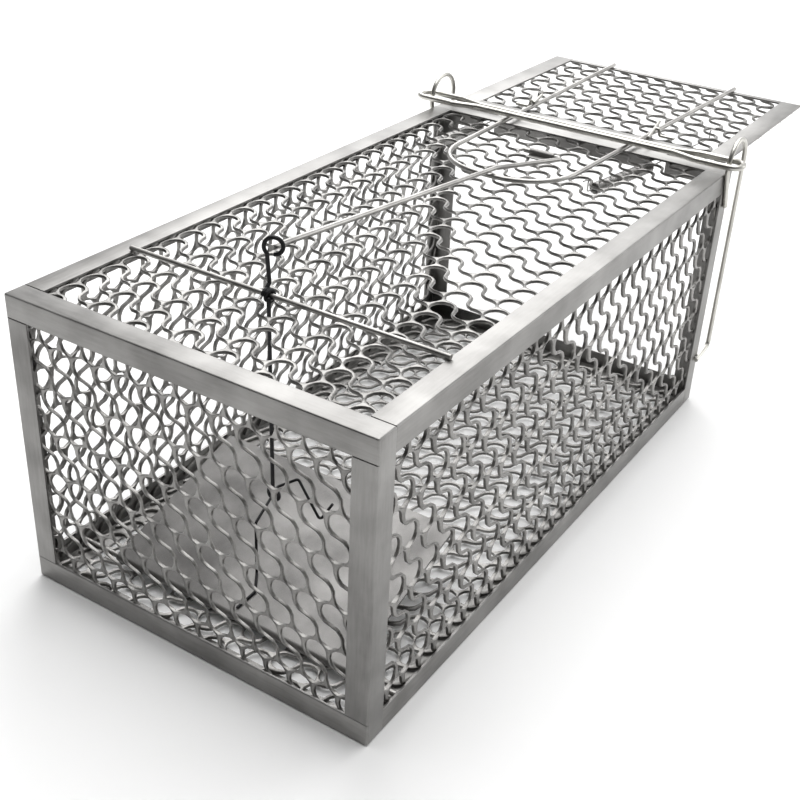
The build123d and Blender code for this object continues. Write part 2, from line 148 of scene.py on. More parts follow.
soft_lamp("Lamp_above", (0.25, 0.1, 1.7), (0, 0, 0.0), 1.8, 30)
soft_lamp("Lamp_far", (1.5, 0.95, 1.25), (0, 0, 0.05), 1.3, 17)
soft_lamp("Lamp_side", (1.15, -1.0, 0.45), (0, 0, 0.06), 0.8, 3)
sky = bpy.data.worlds.new("Studio_sky")
sky.use_nodes = True
sky_back = sky.node_tree.nodes["Background"]
sky_way = add_node(sky.node_tree, "ShaderNodeTexCoord")
sky_axes = add_node(sky.node_tree, "ShaderNodeSeparateXYZ")
sky_level = add_node(sky.node_tree, "ShaderNodeMapRange")
sky_level.inputs["From Min"].default_value, sky_level.inputs["From Max"].default_value = -0.8, 0.9
sky_level.inputs["To Min"].default_value, sky_level.inputs["To Max"].default_value = 0.05, 1.0
sky.node_tree.links.new(sky_way.outputs["Generated"], sky_axes.inputs["Vector"])
sky.node_tree.links.new(sky_axes.outputs["X"], sky_level.inputs["Value"])
sky.node_tree.links.new(sky_level.outputs["Result"], sky_back.inputs["Strength"])
sky_back.inputs["Color"].default_value = (1.0, 1.0, 1.0, 1)
bpy.context.scene.world = sky
bpy.context.scene.view_settings.view_transform = "Standard"
print("lamps: 3")

# %% [markdown]
# ## Metal finishes
# All the metals share one recipe. A broad noise makes the cloudy tone of
# zinc, a fine one makes grain and also drives roughness and a tiny bump.
# Stretching the fine noise along a strip gives the lines that rolling
# leaves. Object coordinates are used, as every piece keeps its origin at 0.


# %% The metal recipe
def metal(name, dark, light, rough, cloud, grain, bump, stretch=(1, 1, 1), metallic=1.0):
    """Procedural metal: dark and light tones, roughness range, noise sizes per metre, bump in metres."""
    material, tree, shader = new_material(name)
    place = add_node(tree, "ShaderNodeTexCoord")
    scale = add_node(tree, "ShaderNodeMapping", inputs={"Scale": stretch})
    clouds = add_node(tree, "ShaderNodeTexNoise", inputs={"Scale": cloud, "Detail": 4.0})
    fine = add_node(tree, "ShaderNodeTexNoise", inputs={"Scale": grain, "Detail": 3.0})
    mixed = add_node(tree, "ShaderNodeMath", operation="MULTIPLY_ADD")
    mixed.inputs[1].default_value = 0.45
    ramp = add_node(tree, "ShaderNodeValToRGB")
    ramp.color_ramp.elements[0].position = 0.52
    ramp.color_ramp.elements[0].color = (*dark, 1)
    ramp.color_ramp.elements[1].position = 0.95
    ramp.color_ramp.elements[1].color = (*light, 1)
    matt = add_node(tree, "ShaderNodeMapRange")
    matt.inputs["From Min"].default_value, matt.inputs["From Max"].default_value = 0.3, 0.7
    matt.inputs["To Min"].default_value, matt.inputs["To Max"].default_value = rough
    relief = add_node(tree, "ShaderNodeBump", inputs={"Strength": 0.6, "Distance": bump})
    link = tree.links.new
    link(place.outputs["Object"], clouds.inputs["Vector"])
    link(place.outputs["Object"], scale.inputs["Vector"])
    link(scale.outputs["Vector"], fine.inputs["Vector"])
    link(fine.outputs["Fac"], mixed.inputs[0])
    link(clouds.outputs["Fac"], mixed.inputs[2])
    link(mixed.outputs["Value"], ramp.inputs["Fac"])
    link(ramp.outputs["Color"], shader.inputs["Base Color"])
    link(fine.outputs["Fac"], matt.inputs["Value"])
    link(matt.outputs["Result"], shader.inputs["Roughness"])
    link(fine.outputs["Fac"], relief.inputs["Height"])
    link(relief.outputs["Normal"], shader.inputs["Normal"])
    shader.inputs["Metallic"].default_value = metallic
    return material


# %% Finishes of this trap
rolled = {"dark": (0.19, 0.186, 0.18), "light": (0.33, 0.324, 0.315), "rough": (0.36, 0.48)}
strip_steel = {
    axis: metal(f"rolled_strip_{axis}", cloud=45, grain=900, bump=0.000015, stretch=stretch, **rolled)
    for axis, stretch in (("x", (0.1, 1, 1)), ("y", (1, 0.1, 1)), ("z", (1, 1, 0.1)))
}
mesh_steel = metal(
    "expanded_metal", (0.17, 0.166, 0.16), (0.36, 0.352, 0.34), (0.28, 0.44), 60, 1400, 0.00003
)
bright_wire = metal(
    "bright_zinc_wire", (0.42, 0.41, 0.38), (0.62, 0.61, 0.57), (0.27, 0.31), 60, 130, 0.000002
)
grey_wire = metal(
    "dull_grey_wire", (0.26, 0.254, 0.245), (0.50, 0.49, 0.47), (0.30, 0.36), 60, 130, 0.000002
)
black_wire = metal(
    "black_annealed_wire",
    (0.016, 0.016, 0.017),
    (0.05, 0.05, 0.052),
    (0.34, 0.5),
    90,
    1600,
    0.00002,
    metallic=0.85,
)
spring_steel = metal(
    "spring_wire", (0.22, 0.215, 0.21), (0.46, 0.45, 0.44), (0.25, 0.38), 80, 1600, 0.00002
)
plate_steel = metal(
    "grained_plate", (0.17, 0.166, 0.162), (0.34, 0.332, 0.324), (0.45, 0.62), 60, 3800, 0.00006
)
print("finishes:", len(bpy.data.materials))

# %% [markdown]
# ## Folded strips
# The frame, the door's edge strips and the treadle are sheet, and the CAD
# gives their exact cut shapes. Real sheet has a rounded fold and slightly
# dulled edges. So each piece is a copy of its node, merged and dissolved to
# clean faces, with a wide bevel on the fold and a hair-line one elsewhere.


# %% Piece helpers
def finished(mesh, name, body, nodes, material=None):
    """Turns a mesh into a piece that rides on a body, stands for its nodes and takes a slot."""
    if material is not None:
        mesh.materials.clear()
        mesh.materials.append(material)
    piece = bpy.data.objects.new(name, mesh)
    bpy.context.scene.collection.objects.link(piece)
    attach(piece, body)
    if nodes:
        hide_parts(*nodes)
    return piece


def smooth_by_angle(mesh, degrees):
    """Smooth shading, with sharp edges where two faces meet more steeply than the angle."""
    for polygon in mesh.polygons:
        polygon.use_smooth = True
    mesh.set_sharp_from_angle(angle=radians(degrees))


def on_fold(vertex_a, vertex_b):
    """True for an edge along an outside corner of the cage box."""
    reach = 0.00005
    near = [
        [min(abs(v.co[i] - cage_low[i]), abs(v.co[i] - cage_high[i])) < reach for i in range(3)]
        for v in (vertex_a, vertex_b)
    ]
    return sum(a and b for a, b in zip(*near)) >= 2


def soft_sheet(node, name, body, material, fold=0.6, edge=0.12):
    """A CAD sheet piece with a rounded fold and dulled edges, in mm."""
    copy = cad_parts[node].data.copy()
    shape = bmesh.new()
    shape.from_mesh(copy)
    bmesh.ops.remove_doubles(shape, verts=shape.verts, dist=0.000001)
    bmesh.ops.dissolve_limit(
        shape, angle_limit=radians(0.5), verts=shape.verts, edges=shape.edges
    )
    weight = shape.edges.layers.float.new("bevel_weight_edge")
    for e in shape.edges:
        if len(e.link_faces) == 2 and e.calc_face_angle() > radians(40):
            e[weight] = 1.0 if on_fold(*e.verts) else edge / fold
    shape.to_mesh(copy)
    shape.free()
    draft = bpy.data.objects.new("draft", copy)
    bpy.context.scene.collection.objects.link(draft)
    bevel = draft.modifiers.new("Dulled_edges", "BEVEL")
    bevel.limit_method = "WEIGHT"
    bevel.width = fold * MM
    bevel.segments = 3
    mesh = plain_mesh(draft, name)
    smooth_by_angle(mesh, 35)
    return finished(mesh, name, body, [node], material)


def plain_mesh(draft, name):
    """Evaluates a draft object's modifiers into a plain mesh, and removes the draft."""
    graph = bpy.context.evaluated_depsgraph_get()
    mesh = bpy.data.meshes.new_from_object(draft.evaluated_get(graph), depsgraph=graph)
    mesh.name = name
    bpy.data.objects.remove(draft)
    return mesh


# %% Cage strips
cage_strips = [
    "bait_end_top_rail",
    "bait_end_bottom_rail",
    "door_end_top_rail",
    "door_end_bottom_rail",
    "bait_end_left_post",
    "bait_end_right_post",
    "door_end_left_post",
    "door_end_right_post",
    "top_left_rail",
    "bottom_left_rail",
    "top_right_rail",
    "bottom_right_rail",
]


def long_axis(node):
    """Letter of the axis that a node is longest along."""
    low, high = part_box(node)
    size = high - low
    return "xyz"[max(range(3), key=lambda i: size[i])]


for node in cage_strips:
    soft_sheet(
        node, node.capitalize(), "cage", strip_steel[long_axis(node)]
    )
print("cage strips:", len(cage_strips))

# %% Door strips, saddle and treadle plate
for node in ("door_left_strip", "door_right_strip", "door_far_hem", "door_hinge_strip"):
    soft_sheet(
        node, node.capitalize(), "door", strip_steel[long_axis(node)], fold=0.2
    )
soft_sheet("rod_saddle", "Rod_saddle", "cage", strip_steel["y"], fold=0.15)
soft_sheet("treadle_plate", "Treadle_plate", "treadle", plate_steel, fold=0.15)
print("sheet pieces on the door, top and floor: 6")

# %% [markdown]
# ## Expanded metal
# A sheet is slit in rows and pulled open, so each opening is two round ends
# joined by a slanting neck, and the metal between is one unbroken net. The
# rule is simple, so only one opening is modelled, with the metal round it
# as far as the middle of each strand. Geometry Nodes repeat it over a
# sheared grid and merge the seams, and the result is one closed sheet.

# %% The opening's outline
pitch, row_gap, row_shift = 9.3, 16.4, 3.65
upper_end, upper_r = Vector((0, 0)), 3.95
lower_end, lower_r = Vector((8.6, -9.1)), 4.3
slot_middle = (upper_end + lower_end) / 2
strand = [
    Vector(point)
    for point in (
        (-4.62, 2.9),
        (-4.72, 1.3),
        (-4.55, -0.6),
        (-3.95, -2.3),
        (-2.6, -3.75),
        (-0.35, -4.42),
        (1.75, -5.1),
        (3.0, -6.2),
        (3.75, -7.7),
        (3.98, -9.6),
        (3.71, -12.2),
    )
]
left_rims = ["upper"] * 6 + [0.6, 0.57, 0.55] + ["lower"] * 2
right_rims = ["upper"] * 2 + [0.72, 0.62, 0.58] + ["lower"] * 6
bond_low, bond_crest, bond_high = Vector((-2.3, 3.72)), Vector((0.06, 4.2)), Vector((2.4, 3.65))
next_row, next_slot = Vector((row_shift, -row_gap)), Vector((pitch, 0))


def rim_point(point, run, inward, rim):
    """Where the opening's rim lies for a point in the middle of the metal round it."""
    if rim == "upper":
        return upper_end + (point - upper_end).normalized() * upper_r
    if rim == "lower":
        return lower_end + (point - lower_end).normalized() * lower_r
    return point + inward * rim * Vector((-run.y, run.x)).normalized()


def strand_side(start, inward, rims):
    """Pairs of (middle of the metal, rim) down one strand."""
    pairs = []
    for i, rim in enumerate(rims):
        run = strand[min(i + 1, len(strand) - 1)] - strand[max(i - 1, 0)]
        point = strand[i] + start
        pairs.append((point, rim_point(point, run, inward, rim)))
    return pairs


def end_side(points, rim):
    """Pairs of (middle of the metal, rim) round one end of the opening."""
    return [(p, rim_point(p, None, 0, rim)) for p in points]


left_side = strand_side(Vector((0, 0)), 1, left_rims)
right_side = strand_side(next_slot, -1, right_rims)
top_side = end_side([bond_low, bond_crest, bond_high], "upper")
low_points = [bond_low + next_slot + next_row, strand[0] + next_slot + next_row]
bottom_side = end_side([*low_points, bond_high + next_row], "lower")
outline = [left_side[0], *top_side, *right_side, *bottom_side, *reversed(left_side[1:])]
print("points round one opening:", len(outline))

# %% The metal round one opening
sheet_depth, chamfer, lean = 1.2, 0.15, 0.2


def one_cell(name, flip):
    """The metal round one opening: crest, chamfer, wall and back. flip mirrors the slant."""
    shape = bmesh.new()
    rings = [[] for level in range(5)]
    for middle, rim in outline:
        out = (middle - rim).normalized()
        tip = lean * (rim - slot_middle).normalized().dot(Vector((0.7, 0.7)))
        levels = (
            (middle, sheet_depth / 2),
            (rim + out * chamfer, sheet_depth / 2 - tip),
            (rim, sheet_depth / 2 - chamfer - tip),
            (rim, -sheet_depth / 2 + chamfer - tip),
            (middle, -sheet_depth / 2),
        )
        for ring, (place, height) in zip(rings, levels):
            ring.append(shape.verts.new((flip * place.x * MM, place.y * MM, height * MM)))
    count = len(outline)
    for outer, inner in zip(rings, rings[1:]):
        for i in range(count):
            k = (i + 1) % count
            corners = (outer[i], inner[i], inner[k], outer[k])
            shape.faces.new(corners if flip > 0 else corners[::-1])
    mesh = bpy.data.meshes.new(name)
    shape.to_mesh(mesh)
    shape.free()
    piece = bpy.data.objects.new(name, mesh)
    bpy.context.scene.collection.objects.link(piece)
    return piece


print("faces round one opening:", 4 * len(outline))


# %% Geometry Nodes helpers
def new_tree(name, sockets):
    """A Geometry Nodes tree with geometry in and out, and named inputs of (name, kind)."""
    tree = bpy.data.node_groups.new(name, "GeometryNodeTree")
    tree.interface.new_socket("Geometry", in_out="INPUT", socket_type="NodeSocketGeometry")
    for label, kind in sockets:
        tree.interface.new_socket(label, in_out="INPUT", socket_type="NodeSocket" + kind)
    tree.interface.new_socket("Geometry", in_out="OUTPUT", socket_type="NodeSocketGeometry")
    return tree, tree.nodes.new("NodeGroupInput"), tree.nodes.new("NodeGroupOutput")


def grow(tree, base, name, settings):
    """Runs a tree on a base mesh with its inputs set by identifier, and returns a plain mesh."""
    draft = bpy.data.objects.new("draft", base)
    bpy.context.scene.collection.objects.link(draft)
    modifier = draft.modifiers.new("Grow", "NODES")
    modifier.node_group = tree
    for item in tree.interface.items_tree:
        if item.in_out == "INPUT" and item.name in settings:
            modifier[item.identifier] = settings[item.name]
    draft.update_tag()
    bpy.context.view_layer.update()
    return plain_mesh(draft, name)


# %% The sheared grid tree
grid_tree, grid_in, grid_out = new_tree(
    "expanded_metal_grid",
    [
        ("Cell", "Object"),
        ("Rows", "Int"),
        ("Columns", "Int"),
        ("Start", "Vector"),
        ("Row step", "Vector"),
        ("Column step", "Vector"),
        ("Unevenness", "Float"),
        ("Material", "Material"),
    ],
)
row_points = add_node(grid_tree, "GeometryNodeMeshLine")
column_points = add_node(grid_tree, "GeometryNodeMeshLine")
rows_of_points = add_node(grid_tree, "GeometryNodeInstanceOnPoints")
all_points = add_node(grid_tree, "GeometryNodeRealizeInstances")
cell_info = add_node(grid_tree, "GeometryNodeObjectInfo")
place_cells = add_node(grid_tree, "GeometryNodeInstanceOnPoints")
real_cells = add_node(grid_tree, "GeometryNodeRealizeInstances")
seams = add_node(grid_tree, "GeometryNodeMergeByDistance", inputs={"Distance": 0.00002})
where = add_node(grid_tree, "GeometryNodeInputPosition")
uneven = add_node(
    grid_tree, "ShaderNodeTexNoise", noise_dimensions="3D", inputs={"Scale": 70.0, "Detail": 1.0}
)
centred = add_node(grid_tree, "ShaderNodeVectorMath", operation="SUBTRACT")
centred.inputs[1].default_value = (0.5, 0.5, 0.5)
scaled = add_node(grid_tree, "ShaderNodeVectorMath", operation="SCALE")
nudge = add_node(grid_tree, "GeometryNodeSetPosition")
paint = add_node(grid_tree, "GeometryNodeSetMaterial")
for source, target in (
    ((grid_in, "Rows"), (row_points, "Count")),
    ((grid_in, "Start"), (row_points, "Start Location")),
    ((grid_in, "Row step"), (row_points, "Offset")),
    ((grid_in, "Columns"), (column_points, "Count")),
    ((grid_in, "Column step"), (column_points, "Offset")),
    ((row_points, "Mesh"), (rows_of_points, "Points")),
    ((column_points, "Mesh"), (rows_of_points, "Instance")),
    ((rows_of_points, "Instances"), (all_points, "Geometry")),
    ((grid_in, "Cell"), (cell_info, "Object")),
    ((all_points, "Geometry"), (place_cells, "Points")),
    ((cell_info, "Geometry"), (place_cells, "Instance")),
    ((place_cells, "Instances"), (real_cells, "Geometry")),
    ((real_cells, "Geometry"), (seams, "Geometry")),
    ((seams, "Geometry"), (nudge, "Geometry")),
    ((where, "Position"), (uneven, "Vector")),
    ((uneven, "Color"), (centred, 0)),
    ((centred, "Vector"), (scaled, 0)),
    ((grid_in, "Unevenness"), (scaled, "Scale")),
    ((scaled, "Vector"), (nudge, "Offset")),
    ((nudge, "Geometry"), (paint, "Geometry")),
    ((grid_in, "Material"), (paint, "Material")),
    ((paint, "Geometry"), (grid_out, "Geometry")),
):
    grid_tree.links.new(source[0].outputs[source[1]], target[0].inputs[target[1]])
print("grid tree nodes:", len(grid_tree.nodes))

# %% [markdown]
# ## Trimming a panel
# The grown sheet is larger than its frame, so it is cut on four sides with
# bisect and each cut loop is filled, which keeps the sheet closed. A cut
# can leave slivers at the border, which would fall off a real sheet, so only
# the largest part is kept. Recalculated normals can still come out inside
# out on a net like this, so the signed volume is checked and turned round.
# The flat panel is then turned to its wall by a matrix built from three axes.


# %% Loose bits left by a cut
def drop_offcuts(shape):
    """Keeps a mesh's largest connected part, as a cut can leave loose slivers at the border."""
    unseen, parts = set(shape.faces), []
    while unseen:
        queue, part = [unseen.pop()], []
        while queue:
            face = queue.pop()
            part.append(face)
            beside = {near for edge in face.edges for near in edge.link_faces} & unseen
            unseen -= beside
            queue += beside
        parts.append(part)
    parts.sort(key=len)
    loose = [face for part in parts[:-1] for face in part]
    bmesh.ops.delete(shape, geom=loose, context="FACES")
    print("loose faces dropped:", len(loose), "kept:", len(parts[-1]))


# %% Grow, trim and place one panel
def panel(node, name, body, along, outward, anchor, flip):
    """Expanded metal filling a CAD panel. anchor is an opening's middle, in mm from the panel's."""
    low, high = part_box(node)
    middle = (low + high) / 2
    u, w = Vector(along), Vector(outward)
    v = w.cross(u)
    size = high - low
    half_u = abs(size.dot(u)) / 2 / MM
    half_v = abs(size.dot(v)) / 2 / MM
    first = ceil((half_v + row_gap) / row_gap)
    rows = 2 * first + 1
    reach = ceil((half_u + 20 + abs(anchor[0]) + (first + 1) * row_shift) / pitch)
    start = (
        anchor[0] - flip * (slot_middle.x + first * row_shift) - reach * pitch,
        anchor[1] - slot_middle.y + first * row_gap,
        0,
    )
    cell = one_cell("cell", flip)
    mesh = grow(
        grid_tree,
        bpy.data.meshes.new("seed"),
        name,
        {
            "Cell": cell,
            "Rows": rows,
            "Columns": 2 * reach + 1,
            "Start": [c * MM for c in start],
            "Row step": [flip * row_shift * MM, -row_gap * MM, 0],
            "Column step": [pitch * MM, 0, 0],
            "Unevenness": 0.0004,
            "Material": mesh_steel,
        },
    )
    bpy.data.objects.remove(cell)
    shape = bmesh.new()
    shape.from_mesh(mesh)
    for edge_point, outside in (
        ((half_u, 0, 0), (1, 0, 0)),
        ((-half_u, 0, 0), (-1, 0, 0)),
        ((0, half_v, 0), (0, 1, 0)),
        ((0, -half_v, 0), (0, -1, 0)),
    ):
        parts = shape.verts[:] + shape.edges[:] + shape.faces[:]
        cut = bmesh.ops.bisect_plane(
            shape,
            geom=parts,
            dist=1e-7,
            plane_co=Vector(edge_point) * MM,
            plane_no=outside,
            clear_outer=True,
        )
        rims = [e for e in cut["geom_cut"] if isinstance(e, bmesh.types.BMEdge)]
        bmesh.ops.holes_fill(shape, edges=rims, sides=0)
    turn = Matrix((u, v, w)).transposed().to_4x4()
    shape.transform(Matrix.Translation(middle) @ turn)
    drop_offcuts(shape)
    bmesh.ops.recalc_face_normals(shape, faces=shape.faces)
    if shape.calc_volume(signed=True) < 0:
        bmesh.ops.reverse_faces(shape, faces=shape.faces)
    shape.to_mesh(mesh)
    shape.free()
    smooth_by_angle(mesh, 50)
    piece = finished(mesh, name, body, [node])
    print(name, "triangles:", sum(len(p.vertices) - 2 for p in mesh.polygons))
    return piece


# %% The six panels
top_low, top_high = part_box("top_mesh")
top_middle = (top_low + top_high) / 2
lever_low, lever_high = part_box("cross_bar")
bar_x = (lever_low.x + lever_high.x) / 2
lever_hole = ((bar_x - top_middle.x) / MM - 0.6, 3.4)
panel("top_mesh", "Top_mesh", "cage", (1, 0, 0), (0, 0, 1), lever_hole, -1)
panel("floor_mesh", "Floor_mesh", "cage", (1, 0, 0), (0, 0, 1), (0, 0), 1)
panel("left_mesh", "Left_mesh", "cage", (-1, 0, 0), (0, 1, 0), (0, 0), 1)
panel("right_mesh", "Right_mesh", "cage", (1, 0, 0), (0, -1, 0), (0, 0), 1)
panel("bait_end_mesh", "Bait_end_mesh", "cage", (0, -1, 0), (-1, 0, 0), (0, 0), 1)
panel("door_mesh", "Door_mesh", "door", (0, 1, 0), (0, 0, 1), (0, 0), 1)

# %% [markdown]
# ## Bent wire
# Bail, guides, lock bar, trigger rod and bait gear are all one piece of
# round wire each. A wire is a few corner points and a bend radius at each.
# A short tree turns the points to a curve, fillets the corners and sweeps a
# circle along it, so a wire is changed by moving a point, as on the bench.

# %% The bent wire tree
wire_tree, wire_in, wire_out = new_tree(
    "bent_wire",
    [("Wire radius", "Float"), ("Sides", "Int"), ("Wander", "Float"), ("Material", "Material")],
)
to_curve = add_node(wire_tree, "GeometryNodeMeshToCurve")
bend_size = add_node(wire_tree, "GeometryNodeInputNamedAttribute", data_type="FLOAT")
bend_size.inputs["Name"].default_value = "bend"
corners = add_node(wire_tree, "GeometryNodeFilletCurve", mode="POLY")
corners.inputs["Count"].default_value = 8
corners.inputs["Limit Radius"].default_value = True
divide = add_node(wire_tree, "GeometryNodeSubdivideCurve", inputs={"Cuts": 2})
wire_where = add_node(wire_tree, "GeometryNodeInputPosition")
drift = add_node(
    wire_tree, "ShaderNodeTexNoise", noise_dimensions="3D", inputs={"Scale": 22.0, "Detail": 0.0}
)
drift_centred = add_node(wire_tree, "ShaderNodeVectorMath", operation="SUBTRACT")
drift_centred.inputs[1].default_value = (0.5, 0.5, 0.5)
drift_scaled = add_node(wire_tree, "ShaderNodeVectorMath", operation="SCALE")
wander = add_node(wire_tree, "GeometryNodeSetPosition")
ends = add_node(wire_tree, "GeometryNodeCurveEndpointSelection")
cut_ends = add_node(wire_tree, "GeometryNodeSetCurveRadius", inputs={"Radius": 0.7})
section = add_node(wire_tree, "GeometryNodeCurvePrimitiveCircle")
sweep = add_node(wire_tree, "GeometryNodeCurveToMesh", inputs={"Fill Caps": True})
real_wire = add_node(wire_tree, "GeometryNodeRealizeInstances")
wire_paint = add_node(wire_tree, "GeometryNodeSetMaterial")
for source, target in (
    ((wire_in, "Geometry"), (to_curve, "Mesh")),
    ((to_curve, "Curve"), (corners, "Curve")),
    ((bend_size, "Attribute"), (corners, "Radius")),
    ((corners, "Curve"), (divide, "Curve")),
    ((divide, "Curve"), (wander, "Geometry")),
    ((wire_where, "Position"), (drift, "Vector")),
    ((drift, "Color"), (drift_centred, 0)),
    ((drift_centred, "Vector"), (drift_scaled, 0)),
    ((wire_in, "Wander"), (drift_scaled, "Scale")),
    ((drift_scaled, "Vector"), (wander, "Offset")),
    ((wander, "Geometry"), (cut_ends, "Curve")),
    ((ends, "Selection"), (cut_ends, "Selection")),
    ((cut_ends, "Curve"), (sweep, "Curve")),
    ((wire_in, "Sides"), (section, "Resolution")),
    ((wire_in, "Wire radius"), (section, "Radius")),
    ((section, "Curve"), (sweep, "Profile Curve")),
    ((sweep, "Mesh"), (real_wire, "Geometry")),
    ((real_wire, "Geometry"), (wire_paint, "Geometry")),
    ((wire_in, "Material"), (wire_paint, "Material")),
    ((wire_paint, "Geometry"), (wire_out, "Geometry")),
):
    wire_tree.links.new(source[0].outputs[source[1]], target[0].inputs[target[1]])
print("wire tree nodes:", len(wire_tree.nodes))


# %% Wires from corner points
def wire_mesh(runs, radius, material, wander_mm=0.0, sides=14):
    """One mesh of round wires. Each run is (points in mm, bends in mm, closed)."""
    points, links, bends = [], [], []
    for line, corner_bends, closed in runs:
        line = [Vector(p) for p in line]
        if not isinstance(corner_bends, (list, tuple)):
            corner_bends = [corner_bends] * len(line)
        corner_bends = list(corner_bends)
        if not closed:
            nib = 0.35 * radius
            line.insert(1, line[0] + (line[1] - line[0]).normalized() * nib)
            line.insert(-1, line[-1] + (line[-2] - line[-1]).normalized() * nib)
            corner_bends = [0, 0, *corner_bends[1:-1], 0, 0]
        first = len(points)
        points += [p * MM for p in line]
        bends += [b * MM for b in corner_bends]
        links += [(i, i + 1) for i in range(first, len(points) - 1)]
        if closed:
            links.append((len(points) - 1, first))
    base = bpy.data.meshes.new("wire_points")
    base.from_pydata(points, links, [])
    attribute = base.attributes.new("bend", "FLOAT", "POINT")
    attribute.data.foreach_set("value", bends)
    settings = {
        "Wire radius": radius * MM,
        "Sides": sides,
        "Wander": wander_mm * MM,
        "Material": material,
    }
    mesh = grow(wire_tree, base, "wire", settings)
    smooth_by_angle(mesh, 40)
    return mesh


def wire(node, name, body, material, runs, radius, wander_mm=0.0, sides=14):
    """A finished wire piece that stands for one CAD node."""
    mesh = wire_mesh(runs, radius, material, wander_mm, sides)
    mesh.name = name
    return finished(mesh, name, body, [node])


def in_mm(node):
    """A node's box in mm."""
    low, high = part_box(node)
    return low / MM, high / MM


# %% Bail
bail_low, bail_high = in_mm("door_bail")
bail_r = 1.0
bail_z = bail_low.z + bail_r
bow_x = bail_low.x + bail_r
bail_points = [
    (bail_high.x, bail_high.y - bail_r, bail_z),
    (bow_x, 30.5, bail_z),
    (bow_x, -23.0, bail_z),
    (bail_high.x, bail_low.y + bail_r, bail_z),
]
bail_run = (bail_points, [0, 24, 24, 0], False)
wire("door_bail", "Door_bail", "door", grey_wire, [bail_run], bail_r, 0.3)
print("bail bow is", round(hinge_x / MM - bow_x), "mm behind the hinge")

# %% Bail clips
clip_r = 0.7
hinge_mm = hinge_x / MM
for node, name, leg_y, outward, near, far in (
    ("left_bail_clip", "Left_bail_clip", 31.89, 1, 13.0, 27.0),
    ("right_bail_clip", "Right_bail_clip", -27.37, -1, 1.0, 26.0),
):
    low, high = in_mm(node)
    high_z, low_z = high.z - clip_r, low.z + clip_r
    x = hinge_mm + 15.5
    slope = 0.208
    bar = [(hinge_mm + r, leg_y + slope * (r - 15.5), high_z) for r in (near, far)]
    beside = leg_y + outward * 2.4
    tail = [
        (x, leg_y + outward * 9.5, low_z),
        (x, beside, low_z),
        (x, beside, high_z),
        (x, leg_y, high_z),
    ]
    wire(
        node,
        name,
        "door",
        bright_wire,
        [(bar, 0, False), (tail, 1.05, False)],
        clip_r,
    )
print("clips: 2")

# %% Lock guides
guide_r = 1.0
for node, name, side in (
    ("left_lock_guide", "Left_lock_guide", 1),
    ("right_lock_guide", "Right_lock_guide", -1),
):
    low, high = in_mm(node)
    y = (low.y + high.y) / 2
    back, front = low.x + guide_r, high.x - guide_r
    arch = high.z - guide_r
    weld = cage_high.x / MM - 4.25
    points = [
        (weld, y, top_z / MM - 15),
        (back, y, top_z / MM + 1),
        (back, y, arch),
        (front, y, arch),
        (front, y, 24),
        (weld, y, 22),
    ]
    wire(
        node,
        name,
        "cage",
        bright_wire,
        [(points, [0, 4, 9.3, 9.3, 3, 0], False)],
        guide_r,
    )
print("guides: 2")

# %% Lock bar
low, high = in_mm("lock_bar")
lock_r = 1.25
lock_x = (low.x + high.x) / 2
lock_z = (low.z + high.z) / 2
lock_end = high.y - lock_r
eye = (high.x - low.x) / 2 - lock_r
quarter = [(1.6, lock_end - 29.5), (eye, lock_end - 18.5), (eye, lock_end)]
one_end = [(-x, y) for x, y in quarter] + [(x, y) for x, y in reversed(quarter)]
loop = one_end + [(x, -y) for x, y in reversed(one_end)]
lock_points = [(lock_x + x, y, lock_z) for x, y in loop]
lock_run = (lock_points, eye - 0.6, True)
wire("lock_bar", "Lock_bar", "lock_bar", bright_wire, [lock_run], lock_r)
print("lock bar length, mm:", round(high.y - low.y, 1))

# %% Hinge wire, cross bar and treadle pivot wire
for node, name, body, material, slot in (
    ("hinge_wire", "Hinge_wire", "door", grey_wire, "grey_wire"),
    ("cross_bar", "Cross_bar", "cage", grey_wire, "grey_wire"),
    ("treadle_pivot_wire", "Treadle_pivot_wire", "cage", grey_wire, "grey_wire"),
):
    low, high = in_mm(node)
    middle = (low + high) / 2
    radius = (high.z - low.z) / 2
    line = [(middle.x, low.y, middle.z), (middle.x, high.y, middle.z)]
    wire(node, name, body, material, [(line, 0, False)], radius)
print("straight wires: 3")

# %% Trigger rod
low, high = in_mm("trigger_rod")
rod_r = 1.0
rod_pivot = (high.x - rod_r, low.z + rod_r)
rod_tip = Vector((low.x + 0.1, 4.0, high.z - rod_r))
bend_x = rod_pivot[0] - 38
slope = (rod_tip.z - rod_pivot[1]) / (rod_pivot[0] - rod_tip.x)
rod_points = [
    rod_tip,
    (bend_x, 1.0, rod_pivot[1] + 38 * slope + 0.7),
    (rod_pivot[0], -10.0, rod_pivot[1]),
    (rod_pivot[0], 8.0, rod_pivot[1]),
]
rod_run = (rod_points, [0, 2.2, 2.2, 0], False)
wire("trigger_rod", "Trigger_rod", "trigger_rod", grey_wire, [rod_run], rod_r)
print("trigger rod length, mm:", round(high.x - low.x, 1))

# %% [markdown]
# ## Bait lever and bait wire
# The lever is soft black wire worked by hand: an eye on top, two turns round
# the cross bar and a small ring below. Circles and turns are points worked
# out with sine and cosine, joined to straight runs in one line.

# %% Bait lever
low, high = in_mm("bait_lever")
lever_r = 0.7
bar_mm = Vector((bar_x / MM, 4.0, (lever_low.z + lever_high.z) / 2 / MM))
eye_r, ring_r, wrap_r = 3.0, 2.4, 1.75
eye_middle = Vector((bar_mm.x + 2.5, 4.0, high.z - lever_r - eye_r))
ring_middle = Vector((bar_mm.x - 1.2, 2.0, low.z + lever_r + ring_r))


